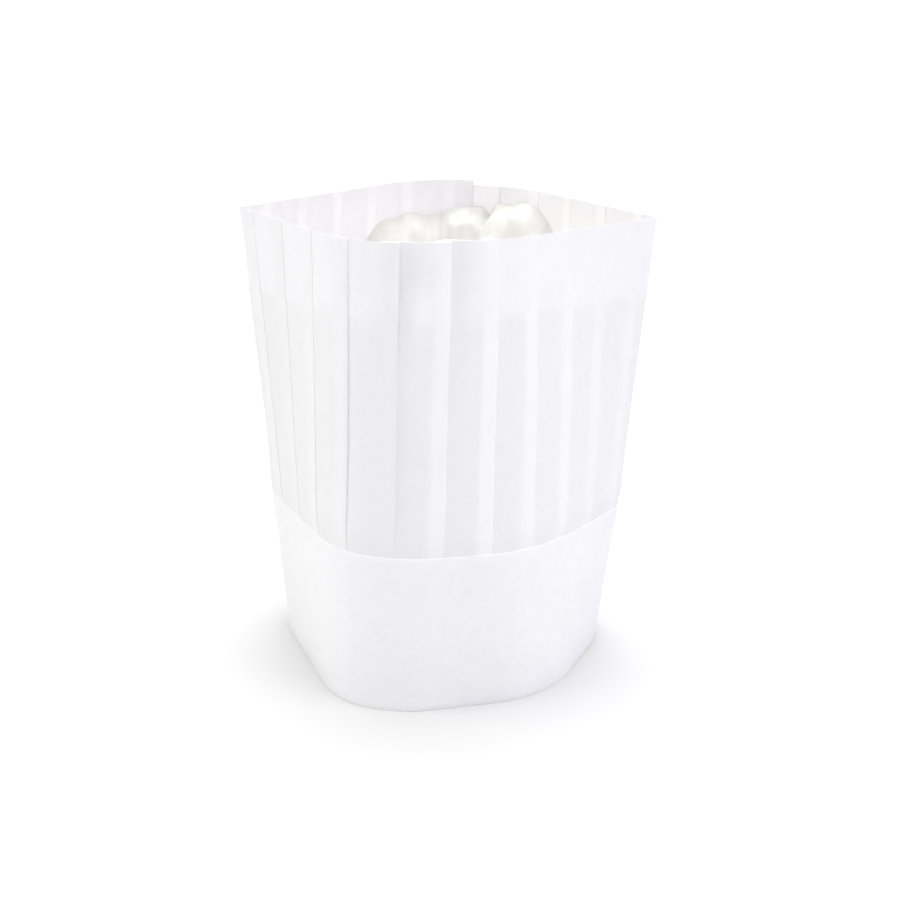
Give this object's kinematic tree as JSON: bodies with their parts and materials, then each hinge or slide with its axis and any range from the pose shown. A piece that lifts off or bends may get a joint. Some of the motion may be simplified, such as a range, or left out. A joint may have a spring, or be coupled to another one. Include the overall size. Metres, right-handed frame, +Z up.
{
  "type": "disposable chef hat",
  "caption": "Tall pleated paper hat with a smooth headband and a gathered tissue crown, worn on the head in kitchens; stands on its band.",
  "frame": {"origin": "centre of the hat's footprint, on the surface that the headband's foot edge rests on", "axes": "+Z up the hat, -Y the front, +X the viewer's right when looking at the front"},
  "size_m": [0.2178, 0.1901, 0.2552],
  "materials": {
    "band_paper": "matte white non-woven",
    "pleat_paper": "matte white non-woven, slightly see-through",
    "crown_tissue": "matte cream crumpled tissue"
  },
  "bodies": {
    "root": {"headband": "band_paper", "pleated_wall": "pleat_paper", "crown_top": "crown_tissue"}
  },
  "joints": []
}
